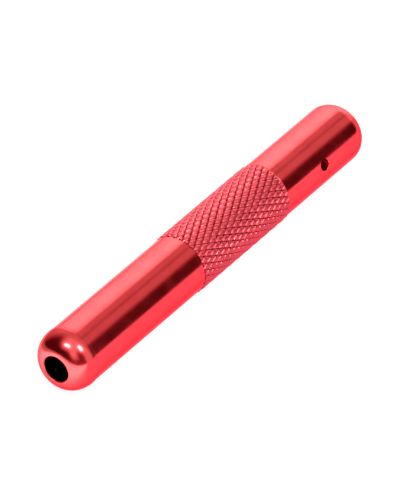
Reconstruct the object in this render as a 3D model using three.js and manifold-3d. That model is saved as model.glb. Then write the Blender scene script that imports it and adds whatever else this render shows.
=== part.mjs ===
// Pin vise: a slim anodised aluminium hand drill, 12 mm across. The domed nose cap carries the closing
// cone of a four-jaw split collet. The smooth front sleeve screws on a spindle that is fixed in the
// knurled grip: screwing it in draws the cone over the jaws. The hollow rear sleeve screws into the
// grip, opens as a store for spare bits and has a blind tommy-bar hole drilled in its side.
// Millimetres. The tool lies along X with its nose towards -X, +Z up. It rests at Z = 0 on its knurl.
import * as THREE from 'three';
import { mergeVertices } from 'three/addons/utils/BufferGeometryUtils.js';
import Module from 'manifold-3d';

const wasm = await Module();
wasm.setup();

// ---- Outside, from nose to tail -------------------------------------------------------------------
const barrelRadius = 6;
const noseDomeLength = 4.4;
const noseStep = 0.08; // the nose cap stands proud of the front sleeve
const noseEdgeLength = 0.15; // straight edge behind the dome
const mouthRadius = 2.68;
const lipRadius = 0.14; // rounding of the mouth
const frontBarrelLength = 32.35;
const gripLength = 26.8;
const rearBarrelLength = 26.4;
const tailDomeLength = 4;
const tailFlatRadius = 2.1;
const endChamfer = 0.18; // on the sleeve ends that meet the grip

// ---- Knurl ----------------------------------------------------------------------------------------
const knurlRise = 0.2; // crests above the sleeves
const knurlDepth = 0.45;
const knurlStarts = 28; // grooves of each hand
const knurlRows = 10; // whole diamonds from end to end of the grip

// ---- Fits -----------------------------------------------------------------------------------------
const seatGap = 0.3; // between faces that meet
const threadClearance = 0.3; // between a thread and its bore, on the radius
const slideClearance = 0.3; // around pieces that slide, turn or flex

// ---- Threads --------------------------------------------------------------------------------------
const threadRadius = 4.6; // nose cap, spindle and rear sleeve share one thread
const capThreadLength = 9.4;
const capWall = 0.75; // of the nose cap's thread, round the back of the cone
const spindleSeat = 9.5; // depth of the spindle in the grip

// ---- Closing cone and collet ----------------------------------------------------------------------
const mouthLand = 4.6; // straight part of the mouth before the cone
const coneLength = 5;
const jawCount = 4;
const jawSlot = 0.3;
const jawBoreRadius = 0.6;
const jawHeadLength = 5.6;
const shankRadius = 2.55;
const shankBoreRadius = 1.6;
const jawLength = 11.7; // from the tips to the root that flexes
const collarLength = 1.5;
const tailLength = 4;

// ---- Spring and its washer ------------------------------------------------------------------------
const springWireRadius = 0.3;
const springTurns = 6;
const springLength = 7.85; // with the sleeve screwed home
const washerThickness = 0.8;
const washerClearance = 0.4; // around the washer

// ---- Spindle, its web and nut ---------------------------------------------------------------------
const spindleBoreRadius = 1.2;
const stemRadius = 2.4;
const webThickness = 3;
const nutLength = 2.6;
const nutSlotWidth = 1.2;
const nutSlotDepth = 0.9;
const stemEnd = 0.9; // stem that stands out of the nut

// ---- Rings and the store --------------------------------------------------------------------------
const ringSectionRadius = 0.42;
const ringSetback = 1.4; // middle of a ring's groove from the end of its thread
const storeWall = 0.56; // under the rear ring's groove
const storeGap = 2.6; // from the spindle's stem to the rear sleeve's thread
const storeFloor = 5; // solid tail behind the store
const drillPointAngle = THREE.MathUtils.degToRad(31); // slope of a drilled hole's bottom

// ---- Tommy-bar hole -------------------------------------------------------------------------------
const tommyRadius = 1.15;
const tommySetback = 14.65; // from the tail end
const tommyChamfer = 0.22;
const tommyFloor = 0.5; // left between the hole's point and the store
const tommyAngle = THREE.MathUtils.degToRad(19.5); // above the horizontal, on the -Y side

// ---- Facets ---------------------------------------------------------------------------------------
const roundSegments = 48;
const smallSegments = 28;
const domeSegments = 10;

// ---- Stations along the tool, from the nose tip ---------------------------------------------------
const capEnd = noseDomeLength + noseEdgeLength;
const frontStart = capEnd + seatGap;
const frontEnd = frontStart + frontBarrelLength;
const gripStart = frontEnd + seatGap;
const gripEnd = gripStart + gripLength;
const rearStart = gripEnd + seatGap;
const tailEnd = rearStart + rearBarrelLength;
const capThreadEnd = capEnd + capThreadLength;
const washerStart = capThreadEnd + seatGap;
const washerEnd = washerStart + washerThickness;
const spindleShoulder = gripStart + spindleSeat;
const webStart = spindleShoulder + seatGap;
const webEnd = webStart + webThickness;
const nutStart = webEnd + seatGap;
const nutEnd = nutStart + nutLength;
const stemTip = nutEnd + stemEnd;
const collarStart = washerEnd + springLength + 2 * seatGap;
const collarEnd = collarStart + collarLength;
const spindleFront = collarEnd + seatGap;
const jawTip = mouthLand + seatGap;
const jawRoot = jawTip + jawLength;
const rearThreadStart = stemTip + storeGap;
const storeEnd = tailEnd - storeFloor;

// ---- Radii that follow from the fits --------------------------------------------------------------
const threadBore = threadRadius + threadClearance;
const coneBackRadius = threadRadius - capWall;
const coneSlope = (coneBackRadius - mouthRadius) / coneLength;
const washerRadius = threadBore - washerClearance;
const collarRadius = threadBore - 2 * slideClearance;
const nutRadius = threadBore - 2 * slideClearance;
const stemBore = stemRadius + slideClearance;
const socketRadius = shankRadius + slideClearance;
const ringRadius = threadBore - slideClearance - ringSectionRadius;
const ringGrooveRadius = ringRadius - ringSectionRadius - slideClearance;
const storeRadius = ringGrooveRadius - storeWall;
const crestRadius = barrelRadius + knurlRise;
const rootRadius = crestRadius - knurlDepth;

// ---- Finishes -------------------------------------------------------------------------------------
const finishes = {
  anodised: { color: 0xc8141f, roughness: 0.22, metalness: 0.95 },
  knurled: { color: 0xb3121c, roughness: 0.32, metalness: 0.95 },
  steel: { color: 0xb6b8ba, roughness: 0.3, metalness: 1 },
  springSteel: { color: 0x8f9498, roughness: 0.28, metalness: 1 },
  blackOxide: { color: 0x2b2c2e, roughness: 0.45, metalness: 0.8 },
  brass: { color: 0xc79a3e, roughness: 0.3, metalness: 1 },
  rubber: { color: 0x141414, roughness: 0.75, metalness: 0 },
};

/** Merge the shared corners of a geometry and drop the triangles that have no area. */
function weld(geometry) {
  geometry.deleteAttribute('normal');
  geometry.deleteAttribute('uv');
  const merged = mergeVertices(geometry, 1e-4);
  const kept = [];
  for (let i = 0; i < merged.index.count; i += 3) {
    const corners = [0, 1, 2].map((k) => merged.index.getX(i + k));
    if (new Set(corners).size === 3) kept.push(...corners);
  }
  merged.setIndex(kept);
  return merged;
}

/** Twice the signed area of an outline of [station, radius] points. */
function signedArea(outline) {
  return outline.reduce((sum, [x, r], i) => {
    const [nextX, nextR] = outline[(i + 1) % outline.length];
    return sum + x * nextR - nextX * r;
  }, 0);
}

/** Turn an outline of [station, radius] points about the tool's axis. */
function revolve(outline, segments = roundSegments) {
  const ordered = signedArea(outline) > 0 ? [...outline].reverse() : [...outline];
  const startsOnAxis = ordered[0][1] === 0;
  if (!startsOnAxis) ordered.push(ordered[0]);
  const points = ordered.map(([x, r]) => new THREE.Vector2(r, x));
  const geometry = new THREE.LatheGeometry(points, segments);
  geometry.rotateZ(-Math.PI / 2);
  return weld(geometry);
}

/** A closed geometry as a solid that can be cut. */
function toSolid(geometry) {
  const vertProperties = new Float32Array(geometry.attributes.position.array);
  const triVerts = new Uint32Array(geometry.index.array);
  return new wasm.Manifold(new wasm.Mesh({ numProp: 3, vertProperties, triVerts }));
}

/** A cut solid as a geometry. */
function toGeometry(solid) {
  const mesh = solid.getMesh();
  const geometry = new THREE.BufferGeometry();
  const positions = [];
  for (let i = 0; i < mesh.numVert; i += 1) {
    positions.push(...mesh.vertProperties.slice(i * mesh.numProp, i * mesh.numProp + 3));
  }
  geometry.setAttribute('position', new THREE.Float32BufferAttribute(positions, 3));
  geometry.setIndex([...mesh.triVerts]);
  return geometry;
}

/** Points of a quarter ellipse from [x0, r0] to [x1, r1], square to the axis at its first point. */
function quarterRound([x0, r0], [x1, r1], steps = domeSegments) {
  const points = [];
  for (let i = 0; i <= steps; i += 1) {
    const angle = (i / steps) * (Math.PI / 2);
    const x = x0 + (x1 - x0) * (1 - Math.cos(angle));
    points.push([x, r0 + (r1 - r0) * Math.sin(angle)]);
  }
  return points;
}

/** Radius of the closing cone at a station. */
function coneRadius(x) {
  return mouthRadius + (x - mouthLand) * coneSlope;
}

/** Domed nose cap: rounded mouth, closing cone and threaded tail. */
function noseCap() {
  const lip = quarterRound([lipRadius, mouthRadius], [0, mouthRadius + lipRadius], 3);
  const domeStart = [0, mouthRadius + lipRadius];
  const capRadius = barrelRadius + noseStep;
  return revolve([
    ...lip.slice(0, -1),
    ...quarterRound(domeStart, [noseDomeLength, capRadius]),
    [capEnd, capRadius],
    [capEnd, threadRadius],
    [capThreadEnd, threadRadius],
    [capThreadEnd, coneBackRadius],
    [mouthLand + coneLength, coneBackRadius],
    [mouthLand, mouthRadius],
  ]);
}

/** Smooth front sleeve, threaded inside for the nose cap and the spindle. */
function frontBarrel() {
  return revolve([
    [frontStart, threadBore],
    [frontStart, barrelRadius],
    [frontEnd - endChamfer, barrelRadius],
    [frontEnd, barrelRadius - endChamfer],
    [frontEnd, threadBore],
  ]);
}

/** One jaw: a quarter of the slotted front of the collet, facing the direction of its number. */
function colletJaw(number) {
  const headEnd = jawTip + jawHeadLength;
  const coneGap = slideClearance;
  const coneEnd = mouthLand + coneLength - 0.5;
  const ring = toSolid(
    revolve(
      [
        [jawTip, jawBoreRadius],
        [jawTip, coneRadius(jawTip) - coneGap],
        [coneEnd, coneRadius(coneEnd) - coneGap],
        [headEnd, coneRadius(coneEnd) - coneGap],
        [headEnd + 1.2, shankRadius],
        [jawRoot, shankRadius],
        [jawRoot, shankBoreRadius],
        [headEnd, shankBoreRadius],
        [headEnd - 1.5, jawBoreRadius],
      ],
      smallSegments,
    ),
  );
  const reach = 2 * threadRadius;
  const quarter = new THREE.BoxGeometry(2 * jawLength, reach, reach);
  quarter.translate(jawTip + jawLength / 2, (reach + jawSlot) / 2, (reach + jawSlot) / 2);
  quarter.rotateX((number * 2 * Math.PI) / jawCount);
  return toGeometry(ring.intersect(toSolid(weld(quarter))));
}

/** Collet body behind the jaws: shank, spring collar and the tail that sits in the spindle. */
function colletBody() {
  const tailTip = collarEnd + tailLength;
  return revolve(
    [
      [jawRoot + seatGap, shankBoreRadius],
      [jawRoot + seatGap, shankRadius],
      [collarStart, shankRadius],
      [collarStart, collarRadius],
      [collarEnd, collarRadius],
      [collarEnd, shankRadius],
      [tailTip, shankRadius],
      [tailTip, shankBoreRadius],
    ],
    smallSegments,
  );
}

/** Spring washer on the nose cap's end, around the flexing jaws. */
function springWasher() {
  const hole = shankRadius + slideClearance;
  return revolve(
    [
      [washerStart, hole],
      [washerStart, washerRadius],
      [washerEnd, washerRadius],
      [washerEnd, hole],
    ],
    smallSegments,
  );
}

/** Helix of the collet spring, between the washer and the collar. */
class SpringPath extends THREE.Curve {
  getPoint(t, target = new THREE.Vector3()) {
    const start = washerEnd + seatGap + springWireRadius;
    const end = collarStart - seatGap - springWireRadius;
    const radius = (washerRadius + shankRadius) / 2 + 0.1;
    const angle = t * springTurns * 2 * Math.PI;
    return target.set(start + (end - start) * t, radius * Math.sin(angle), radius * Math.cos(angle));
  }
}

/** Compression spring that pushes the collet back as the cone lets go. */
function colletSpring() {
  const wire = new THREE.Shape();
  wire.absarc(0, 0, springWireRadius, 0, 2 * Math.PI);
  const geometry = new THREE.ExtrudeGeometry(wire, {
    extrudePath: new SpringPath(),
    steps: springTurns * 16,
    curveSegments: 3,
    bevelEnabled: false,
  });
  return weld(geometry);
}

/** Hollow spindle: socket for the collet tail, thread with a ring groove, shoulder and stem. */
function chuckSpindle() {
  const socketEnd = collarEnd + tailLength + seatGap;
  const groove = gripStart - ringSetback;
  const halfGroove = ringSectionRadius + slideClearance;
  return revolve([
    [spindleFront, socketRadius],
    [spindleFront, threadRadius - endChamfer],
    [spindleFront + endChamfer, threadRadius],
    [groove - halfGroove, threadRadius],
    [groove - halfGroove, ringGrooveRadius],
    [groove + halfGroove, ringGrooveRadius],
    [groove + halfGroove, threadRadius],
    [spindleShoulder, threadRadius],
    [spindleShoulder, stemRadius],
    [stemTip, stemRadius],
    [stemTip, spindleBoreRadius],
    [socketEnd + 1, spindleBoreRadius],
    [socketEnd, socketRadius],
  ]);
}

/** A sealing ring in a thread's groove, centred on a station. */
function sealRing(station) {
  const outline = [];
  const sides = 10;
  for (let i = 0; i < sides; i += 1) {
    const angle = (i / sides) * 2 * Math.PI;
    const x = station + ringSectionRadius * Math.cos(angle);
    outline.push([x, ringRadius + ringSectionRadius * Math.sin(angle)]);
  }
  return revolve(outline, smallSegments);
}

/** Corner of the knurl at a row and a place round the grip, both counted in half diamonds. */
function knurlPoint(row, place, radius) {
  const x = gripStart + (row * gripLength) / (2 * knurlRows);
  const angle = (place * Math.PI) / knurlStarts;
  return [x, radius * Math.sin(angle), radius * Math.cos(angle)];
}

/** Knurled grip: crossing left-hand and right-hand grooves leave rows of pointed diamonds. */
function knurledGrip() {
  const lastRow = 2 * knurlRows;
  const places = 2 * knurlStarts;
  const positions = [];
  const face = (...corners) => corners.forEach((corner) => positions.push(...corner));
  const circle = (x, radius) => (place) => [x, ...knurlPoint(0, place, radius).slice(1)];
  const edge = (row) => (place) => {
    return knurlPoint(row, place, (place + row) % 2 === 0 ? crestRadius : rootRadius);
  };

  for (let row = 0; row <= lastRow; row += 1) {
    for (let place = row % 2; place < places; place += 2) {
      const crest = knurlPoint(row, place, crestRadius);
      const left = knurlPoint(row - 1, place, rootRadius);
      const right = knurlPoint(row + 1, place, rootRadius);
      const near = knurlPoint(row, place - 1, rootRadius);
      const far = knurlPoint(row, place + 1, rootRadius);
      if (row > 0) face(crest, far, left, crest, left, near);
      if (row < lastRow) face(crest, right, far, crest, near, right);
    }
  }

  const loops = [
    edge(0),
    circle(gripStart, threadBore),
    circle(webStart, threadBore),
    circle(webStart, stemBore),
    circle(webEnd, stemBore),
    circle(webEnd, threadBore),
    circle(gripEnd, threadBore),
    edge(lastRow),
  ];
  for (let i = 0; i + 1 < loops.length; i += 1) {
    for (let place = 0; place < places; place += 1) {
      const [a, b] = [loops[i](place), loops[i](place + 1)];
      const [c, d] = [loops[i + 1](place), loops[i + 1](place + 1)];
      face(a, b, d, a, d, c);
    }
  }
  const geometry = new THREE.BufferGeometry();
  geometry.setAttribute('position', new THREE.Float32BufferAttribute(positions, 3));
  return weld(geometry);
}

/** Round nut that clamps the spindle against the web of the grip, slotted for a two-pin key. */
function spindleNut() {
  const ring = toSolid(
    revolve(
      [
        [nutStart, stemBore],
        [nutStart, nutRadius],
        [nutEnd, nutRadius],
        [nutEnd, stemBore],
      ],
      smallSegments,
    ),
  );
  const slot = new THREE.BoxGeometry(2 * nutSlotDepth, 3 * nutRadius, nutSlotWidth);
  slot.translate(nutEnd, 0, 0);
  return toGeometry(ring.subtract(toSolid(weld(slot))));
}

/** Hollow rear sleeve: threaded spigot with a ring groove, store, domed tail and tommy-bar hole. */
function rearBarrel() {
  const groove = gripEnd - ringSetback;
  const halfGroove = ringSectionRadius + slideClearance;
  const sleeve = revolve([
    [storeEnd + storeRadius * Math.tan(drillPointAngle), 0],
    [storeEnd, storeRadius],
    [rearThreadStart, storeRadius],
    [rearThreadStart, threadRadius - endChamfer],
    [rearThreadStart + endChamfer, threadRadius],
    [groove - halfGroove, threadRadius],
    [groove - halfGroove, ringGrooveRadius],
    [groove + halfGroove, ringGrooveRadius],
    [groove + halfGroove, threadRadius],
    [rearStart, threadRadius],
    [rearStart, barrelRadius - endChamfer],
    [rearStart + endChamfer, barrelRadius],
    ...quarterRound([tailEnd, tailFlatRadius], [tailEnd - tailDomeLength, barrelRadius]).reverse(),
    [tailEnd, 0],
  ]);
  const pointHeight = storeRadius + tommyFloor;
  const points = [
    [0, pointHeight],
    [tommyRadius, pointHeight + tommyRadius * Math.tan(drillPointAngle)],
    [tommyRadius, barrelRadius - tommyChamfer],
    [tommyRadius + tommyChamfer + barrelRadius, 2 * barrelRadius],
    [0, 2 * barrelRadius],
  ].map(([r, y]) => new THREE.Vector2(r, y));
  const drill = new THREE.LatheGeometry(points, smallSegments);
  drill.rotateX(Math.PI - tommyAngle);
  drill.translate(tailEnd - tommySetback, 0, 0);
  return toGeometry(toSolid(sleeve).subtract(toSolid(weld(drill))));
}

/** A named piece of the tool in one of its finishes. */
function piece(name, geometry, finish) {
  const mesh = new THREE.Mesh(geometry, new THREE.MeshStandardMaterial(finishes[finish]));
  mesh.name = name;
  return mesh;
}

const pinVise = new THREE.Group();
pinVise.position.set(-tailEnd / 2, 0, crestRadius);

const frontSleeve = new THREE.Group();
frontSleeve.add(piece('nose_cap', noseCap(), 'anodised'));
frontSleeve.add(piece('front_barrel', frontBarrel(), 'anodised'));

const chuck = new THREE.Group();
for (let number = 0; number < jawCount; number += 1) {
  chuck.add(piece(`collet_jaw_${number + 1}`, colletJaw(number), 'steel'));
}
chuck.add(piece('collet_body', colletBody(), 'steel'));
chuck.add(piece('spring_washer', springWasher(), 'brass'));
chuck.add(piece('collet_spring', colletSpring(), 'springSteel'));

const handle = new THREE.Group();
handle.add(piece('chuck_spindle', chuckSpindle(), 'steel'));
handle.add(piece('front_seal_ring', sealRing(gripStart - ringSetback), 'rubber'));
handle.add(piece('knurled_grip', knurledGrip(), 'knurled'));
handle.add(piece('spindle_nut', spindleNut(), 'blackOxide'));

const tail = new THREE.Group();
tail.add(piece('rear_seal_ring', sealRing(gripEnd - ringSetback), 'rubber'));
tail.add(piece('rear_barrel', rearBarrel(), 'anodised'));

pinVise.add(frontSleeve, chuck, handle, tail);

export default pinVise;
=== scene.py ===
"""Pin vise drill: its looks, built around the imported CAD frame.

Lengths are metres. The tool lies along X with its nose towards -X. Stations run along X and radii
stand square to the axis, which is AXIS_Z above the surface that the knurled grip rests on.
"""

import logging
import math
from dataclasses import dataclass
from enum import Enum
from typing import Callable, Iterable, Sequence

import bmesh
import bpy
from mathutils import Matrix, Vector


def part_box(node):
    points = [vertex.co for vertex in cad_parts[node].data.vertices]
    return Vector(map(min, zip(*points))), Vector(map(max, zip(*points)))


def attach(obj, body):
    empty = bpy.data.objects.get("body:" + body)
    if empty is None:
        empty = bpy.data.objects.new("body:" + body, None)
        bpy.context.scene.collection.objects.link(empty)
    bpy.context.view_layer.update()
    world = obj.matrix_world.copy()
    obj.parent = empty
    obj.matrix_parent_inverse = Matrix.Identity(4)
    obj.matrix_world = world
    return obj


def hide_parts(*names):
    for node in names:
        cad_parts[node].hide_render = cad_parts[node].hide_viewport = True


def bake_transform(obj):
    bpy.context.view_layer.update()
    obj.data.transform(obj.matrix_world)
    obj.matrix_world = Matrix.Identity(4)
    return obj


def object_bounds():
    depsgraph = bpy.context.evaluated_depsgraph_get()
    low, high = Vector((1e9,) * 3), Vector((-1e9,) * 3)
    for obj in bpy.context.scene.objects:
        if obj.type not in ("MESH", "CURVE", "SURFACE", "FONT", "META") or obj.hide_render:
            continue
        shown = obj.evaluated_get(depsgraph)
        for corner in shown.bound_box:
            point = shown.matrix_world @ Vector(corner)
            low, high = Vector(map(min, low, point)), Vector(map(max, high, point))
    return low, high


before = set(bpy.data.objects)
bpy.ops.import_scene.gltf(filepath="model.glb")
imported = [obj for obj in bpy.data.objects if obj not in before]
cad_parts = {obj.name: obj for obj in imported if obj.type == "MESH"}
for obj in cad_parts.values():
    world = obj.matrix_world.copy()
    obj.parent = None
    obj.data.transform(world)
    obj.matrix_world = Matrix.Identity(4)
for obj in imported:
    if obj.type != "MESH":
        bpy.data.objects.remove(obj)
CAD_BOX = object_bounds()

MM = 0.001
log = logging.getLogger("pin_vise")

Corner = tuple[float, float, float]
Scale = tuple[float, float, float]
Point = tuple[float, float]
Colour = tuple[float, float, float, float]
Piece = bpy.types.Object
Socket = bpy.types.NodeSocket


def node_span(node: str) -> Point:
    """Stations at which a CAD node starts and ends."""
    low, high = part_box(node)
    return low.x, high.x


def node_radius(node: str) -> float:
    """Outer radius of a CAD node that is round about the tool's axis."""
    low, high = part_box(node)
    return (high.y - low.y) / 2


AXIS_Z = sum(corner.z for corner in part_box("front_barrel")) / 2
SLEEVE_RADIUS = node_radius("front_barrel")
SEAT_GAP = 0.3 * MM  # between neighbouring CAD solids that touch on the real tool
STRAIGHT = 0.2 * MM  # plain ring behind a broken edge, so that a long face shades evenly
ROUND_FACES = 160
SMALL_ROUND_FACES = 96
SHARP_TURNED = 32  # degrees that an edge turns before it shows as sharp
SHARP_THREAD = 30
SHARP_KNURL = 24
SHARP_WIRE = 40


class Body(Enum):
    """CAD bodies that the pieces ride on."""

    HANDLE = "handle"
    SPRING_SEAT = "spring_seat"
    FRONT_SLEEVE = "front_sleeve"
    TAIL_SEAL = "tail_seal"
    TAIL_SLEEVE = "tail_sleeve"


class Slot(Enum):
    """Material slots of the tool's pieces."""

    ANODISED = "red_anodised"
    KNURL = "red_anodised_knurl"
    COLLET = "collet_steel"
    SPINDLE = "spindle_steel"
    SPRING = "spring_steel"
    OXIDE = "black_oxide_steel"
    BRASS = "brass"
    RUBBER = "rubber"


# ---- Outlines and meshes ----


def rounded(corners: Sequence[Corner], steps: int = 5, closed: bool = True) -> list[Point]:
    """Outline with its corners rounded.

    Args:
        corners: (station, radius, rounding) of each corner, in order.
        steps: Pieces of each rounding.
        closed: Whether the last corner joins the first.

    Returns:
        Points of the outline, with an arc in place of each corner that has a rounding.
    """
    points: list[Point] = []
    count = len(corners)
    for i, (x, r, rounding) in enumerate(corners):
        inner = closed or 0 < i < count - 1
        if rounding <= 0 or not inner:
            points.append((x, r))
            continue
        here = Vector((x, r))
        before = (Vector(corners[i - 1][:2]) - here).normalized()
        after = (Vector(corners[(i + 1) % count][:2]) - here).normalized()
        half = before.angle(after) / 2
        reach = rounding / math.tan(half)
        centre = here + (before + after).normalized() * (rounding / math.sin(half))
        start, end = here + before * reach - centre, here + after * reach - centre
        sweep = start.angle_signed(end)
        for k in range(steps + 1):
            angle = -sweep * k / steps
            turned = Vector((
                start.x * math.cos(angle) - start.y * math.sin(angle),
                start.x * math.sin(angle) + start.y * math.cos(angle),
            ))
            points.append(tuple(centre + turned))
    return points


def quarter_round(start: Point, end: Point, steps: int) -> list[Point]:
    """Quarter ellipse that leaves its start square to the axis and reaches its end along it."""
    points = []
    for k in range(steps + 1):
        angle = k / steps * math.pi / 2
        x = start[0] + (end[0] - start[0]) * (1 - math.cos(angle))
        points.append((x, start[1] + (end[1] - start[1]) * math.sin(angle)))
    return points


def grid_faces(rows: int, columns: int, rows_close: bool, columns_close: bool) -> list[tuple[int, ...]]:
    """Faces between neighbouring points of a grid.

    Args:
        rows: Rows of points.
        columns: Points in each row.
        rows_close: Whether the last row joins the first.
        columns_close: Whether the last point of a row joins its first.

    Returns:
        Corners of each face, as places in the points taken row by row.
    """
    faces = []
    for i in range(rows if rows_close else rows - 1):
        j = (i + 1) % rows
        for k in range(columns if columns_close else columns - 1):
            n = (k + 1) % columns
            faces.append((i * columns + k, j * columns + k, j * columns + n, i * columns + n))
    return faces


def new_object(name: str, data: bpy.types.ID) -> Piece:
    """Object in the scene that shows some data."""
    made = bpy.data.objects.new(name, data)
    bpy.context.scene.collection.objects.link(made)
    return made


def mesh_object(name: str, vertices: Iterable, faces: Iterable) -> Piece:
    """Object with a welded, outward-facing, smooth-shaded mesh.

    Args:
        name: Name of the piece.
        vertices: Points, where they lie in the tool.
        faces: Corners of each face, as places in vertices.

    Returns:
        The object, at the origin.
    """
    mesh = bpy.data.meshes.new(name)
    mesh.from_pydata(list(vertices), [], list(faces))
    work = bmesh.new()
    work.from_mesh(mesh)
    bmesh.ops.remove_doubles(work, verts=work.verts, dist=1e-8)
    bmesh.ops.dissolve_degenerate(work, edges=work.edges, dist=1e-9)
    bmesh.ops.recalc_face_normals(work, faces=work.faces)
    work.to_mesh(mesh)
    work.free()
    shade(mesh, SHARP_TURNED)
    return new_object(name, mesh)


def shade(mesh: bpy.types.Mesh, sharp_degrees: float) -> None:
    """Smooth shading with sharp edges where faces turn more than an angle."""
    mesh.shade_smooth()
    mesh.set_sharp_from_angle(angle=math.radians(sharp_degrees))


def revolve(name: str, outline: Sequence[Point], segments: int = ROUND_FACES) -> Piece:
    """Solid of revolution about the tool's axis.

    Args:
        name: Name of the piece.
        outline: (station, radius) points that close on themselves or start and end on the axis.
        segments: Faces round the axis.

    Returns:
        The piece.
    """
    vertices = []
    for x, r in outline:
        for k in range(segments):
            angle = 2 * math.pi * k / segments
            vertices.append((x, r * math.sin(angle), AXIS_Z + r * math.cos(angle)))
    on_axis = outline[0][1] < 1e-9 and outline[-1][1] < 1e-9
    return mesh_object(name, vertices, grid_faces(len(outline), segments, not on_axis, True))


def sector(name: str, outline: Sequence[Point], middle: float, span: float, slot: float) -> Piece:
    """Part of a solid of revolution between two flat faces that are parallel to its edges.

    Args:
        name: Name of the piece.
        outline: Closed (station, radius) outline, clear of the axis.
        middle: Angle of the middle of the sector, from +Y towards +Z.
        span: Angle between the planes that bound it.
        slot: Distance between a face and the next sector's.

    Returns:
        The piece.
    """
    vertices = []
    steps = 20
    row = steps + 1
    count = len(outline)
    for x, r in outline:
        inset = math.asin(min(1, slot / 2 / r))
        for k in range(row):
            angle = middle + (span / 2 - inset) * (2 * k / steps - 1)
            vertices.append((x, r * math.cos(angle), AXIS_Z + r * math.sin(angle)))
    faces = grid_faces(count, row, True, False)
    faces.append(tuple(i * row for i in range(count)))
    faces.append(tuple(i * row + steps for i in reversed(range(count))))
    return mesh_object(name, vertices, faces)


def paint_bore_shade(piece: Piece, inside: Callable[[float, float], float]) -> None:
    """Store painted shade for each point, from a rule on its station and radius: how far inside a bore it is,
    and so how dark its colour is painted.
    """
    mesh = piece.data
    stored = mesh.attributes.new("bore", "FLOAT", "POINT")
    for vertex, value in zip(mesh.vertices, stored.data):
        value.value = inside(vertex.co.x, math.hypot(vertex.co.y, vertex.co.z - AXIS_Z))


def carve(piece: Piece, tool: Piece) -> None:
    """Cut a piece with a tool, which is then removed."""
    cut = piece.modifiers.new("cut", "BOOLEAN")
    cut.operation = "DIFFERENCE"
    cut.solver = "EXACT"
    cut.object = tool
    bake_modifiers(piece)
    bpy.data.objects.remove(tool)


def bake_modifiers(piece: Piece, sharp_degrees: float = SHARP_TURNED) -> None:
    """Turn a piece's modifiers into its plain mesh."""
    depsgraph = bpy.context.evaluated_depsgraph_get()
    made = bpy.data.meshes.new_from_object(piece.evaluated_get(depsgraph))
    piece.modifiers.clear()
    piece.data = made
    shade(made, sharp_degrees)


# ---- Node trees ----


class Tree:
    """A node tree under construction, with short calls for its nodes and links."""

    def __init__(self, tree: bpy.types.NodeTree) -> None:
        """Take the tree to build in."""
        self.tree = tree

    def put(self, socket: Socket, value: object) -> None:
        """Link or set a socket."""
        if isinstance(value, Socket):
            self.tree.links.new(value, socket)
        else:
            socket.default_value = value

    def node(self, kind: str, settings: dict | None = None, **sockets: object) -> bpy.types.Node:
        """Add a node.

        Args:
            kind: Blender's name of the node.
            settings: Properties to set on it.
            sockets: Links or values for its inputs, by name with _ for a space or by i0, i1, ...

        Returns:
            The node.
        """
        made = self.tree.nodes.new(kind)
        for key, value in (settings or {}).items():
            setattr(made, key, value)
        for key, value in sockets.items():
            place = int(key[1:]) if key[0] == "i" and key[1:].isdigit() else key.replace("_", " ")
            self.put(made.inputs[place], value)
        return made

    def math(self, operation: str, a: object, b: object = 0.0, c: object = 0.0) -> Socket:
        """Result of a sum on one to three numbers."""
        return self.node("ShaderNodeMath", {"operation": operation}, i0=a, i1=b, i2=c).outputs[0]


class NodeTree(Tree):
    """A Geometry Nodes tree with named inputs."""

    def __init__(self, name: str) -> None:
        """Start an empty tree with a geometry input and output."""
        super().__init__(bpy.data.node_groups.new(name, "GeometryNodeTree"))
        self.tree.interface.new_socket("Geometry", in_out="INPUT", socket_type="NodeSocketGeometry")
        self.tree.interface.new_socket("Geometry", in_out="OUTPUT", socket_type="NodeSocketGeometry")
        self.inputs: dict[str, str] = {}

    def start(self, numbers: Sequence[str], whole: Sequence[str]) -> None:
        """Args:
            numbers: Names of the numbers.
            whole: Names of the whole numbers.
        """
        kinds = {name: "NodeSocketFloat" for name in numbers} | {name: "NodeSocketInt" for name in whole}
        for name, kind in (kinds | {"Material": "NodeSocketMaterial"}).items():
            made = self.tree.interface.new_socket(name, in_out="INPUT", socket_type=kind)
            self.inputs[name] = made.identifier
        self.source = self.tree.nodes.new("NodeGroupInput")

    def of(self, name: str) -> Socket:
        """Socket of a named input."""
        return self.source.outputs[name]

    def finish(self, geometry: Socket) -> None:
        """Realize the geometry, give it its material and send it out."""
        real = self.node("GeometryNodeRealizeInstances", i0=geometry).outputs[0]
        dressed = self.node("GeometryNodeSetMaterial", Geometry=real, Material=self.of("Material"))
        out = self.tree.nodes.new("NodeGroupOutput")
        self.tree.links.new(dressed.outputs[0], out.inputs[0])

    def make(self, name: str, values: dict[str, object], sharp_degrees: float) -> Piece:
        """Run the tree on an empty mesh.

        Args:
            name: Name of the object.
            values: Value of each named input.
            sharp_degrees: Edges that turn more than this stay sharp.

        Returns:
            An object with the plain mesh that the tree makes.
        """
        piece = new_object(name, bpy.data.meshes.new(name))
        modifier = piece.modifiers.new(self.tree.name, "NODES")
        modifier.node_group = self.tree
        for key, value in values.items():
            modifier[self.inputs[key]] = value
        bake_modifiers(piece, sharp_degrees)
        return piece


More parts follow.
